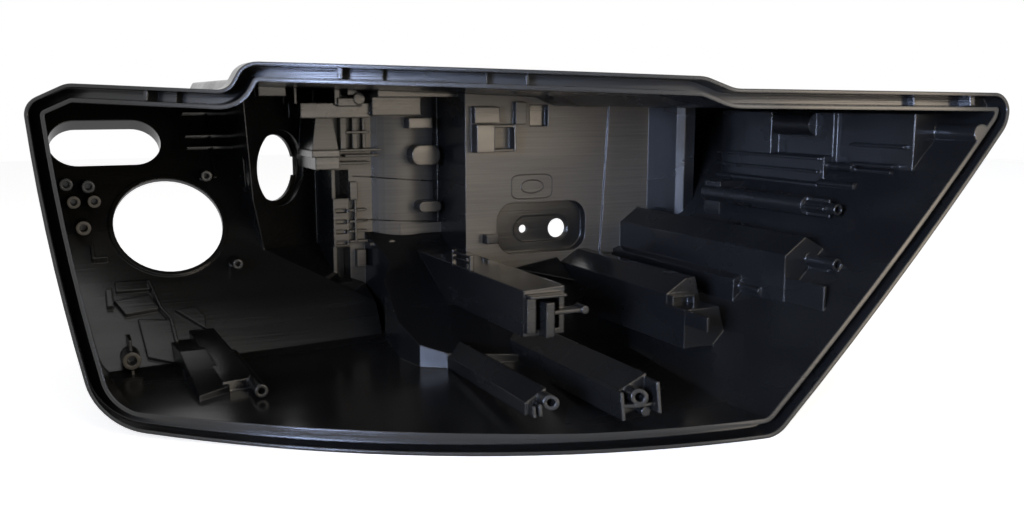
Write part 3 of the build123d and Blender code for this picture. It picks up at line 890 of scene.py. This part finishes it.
def add_block(
    form: bmesh.types.BMesh,
    centre_mm: Point,
    size_mm: Point,
    chamfer_mm: float,
    chamfer_steps: int = 2,
    chamfer_fullness: float = 0.7,
) -> None:
    """Adds a block with chamfered edges to a mesh.

    Args:
        form: The mesh that takes the block.
        centre_mm: Its centre.
        size_mm: Its length, depth and height.
        chamfer_mm: Width of the chamfer on every edge.
        chamfer_steps: Faces across a chamfer.
        chamfer_fullness: How far a chamfer bulges, from 0 to 1, with 0.5 a round.
    """
    place = Matrix.Translation(Vector(centre_mm) * MM)
    scale = Matrix.Diagonal((*(Vector(size_mm) * MM), 1.0))
    corners = bmesh.ops.create_cube(form, size=1.0, matrix=place @ scale)["verts"]
    edges = list({edge for corner in corners for edge in corner.link_edges})
    bmesh.ops.bevel(
        form,
        geom=edges,
        offset=chamfer_mm * MM,
        segments=chamfer_steps,
        profile=chamfer_fullness,
        affect="EDGES",
    )


@dataclass
class TowerTrim(Trim):
    """Cable bracket on the long tower, and the web that ties the next tower to the wall."""

    bracket_x_mm: float = 188.2
    bracket_back_mm: float = -116.5
    bracket_front_mm: float = -149.5
    bracket_foot_mm: float = -28.5
    bracket_top_mm: float = -15.5
    plate_mm: float = 1.8
    depth_mm: float = 3.4
    bars_mm: tuple[float, ...] = (-17.4, -21.6)
    web_mm: tuple[Point, ...] = (
        (257.0, -74.6, -41.2),
        (298.5, -74.6, -34.6),
        (302.6, -100.5, -50.6),
    )
    web_thickness_mm: float = 1.8
    chamfer_mm: float = 0.35

    def add_bracket(self, form: bmesh.types.BMesh) -> None:
        """Adds the bracket's two uprights and its cross bars.

        Args:
            form: The mesh that takes them.
        """
        tall = self.bracket_top_mm - self.bracket_foot_mm
        level = (self.bracket_top_mm + self.bracket_foot_mm) / 2
        for y in (self.bracket_back_mm, self.bracket_front_mm):
            centre = (self.bracket_x_mm, y, level)
            add_block(form, centre, (self.depth_mm, self.plate_mm, tall), self.chamfer_mm)
        middle = (self.bracket_back_mm + self.bracket_front_mm) / 2
        span = self.bracket_back_mm - self.bracket_front_mm
        for z in self.bars_mm:
            centre = (self.bracket_x_mm, middle, z)
            add_block(form, centre, (self.plate_mm, span, self.plate_mm), self.chamfer_mm)

    def add_web(self, form: bmesh.types.BMesh) -> None:
        """Adds the three-cornered web.

        Args:
            form: The mesh that takes it.
        """
        top = [Vector(corner) * MM for corner in self.web_mm]
        out = (top[1] - top[0]).cross(top[2] - top[0]).normalized()
        if out.z < 0:
            out.negate()
        drop = out * (self.web_thickness_mm * MM)
        upper = [form.verts.new(corner) for corner in top]
        lower = [form.verts.new(corner - drop) for corner in top]
        form.faces.new(upper)
        form.faces.new(lower[::-1])
        for index in range(len(top)):
            after = (index + 1) % len(top)
            form.faces.new((upper[index], lower[index], lower[after], upper[after]))

    def build(self) -> bpy.types.Object:
        """Builds the bracket and the web as one piece.

        Returns:
            The piece.
        """
        form = bmesh.new()
        self.add_bracket(form)
        self.add_web(form)
        bmesh.ops.recalc_face_normals(form, faces=form.faces[:])
        mesh = bpy.data.meshes.new("tower_trim")
        form.to_mesh(mesh)
        form.free()
        mesh.materials.append(self.plastic)
        return self.hand_over(self.hang("tower_trim", mesh))


def main() -> None:
    """Builds the scene in order."""
    housing = Housing().dress()
    plastic = housing.material_slots[0].material
    for trim in (ChannelRibs, WallBeads, TowerTrim):
        trim(carrier=housing, plastic=plastic).build()
    Studio().build()


if __name__ == "__main__":
    main()
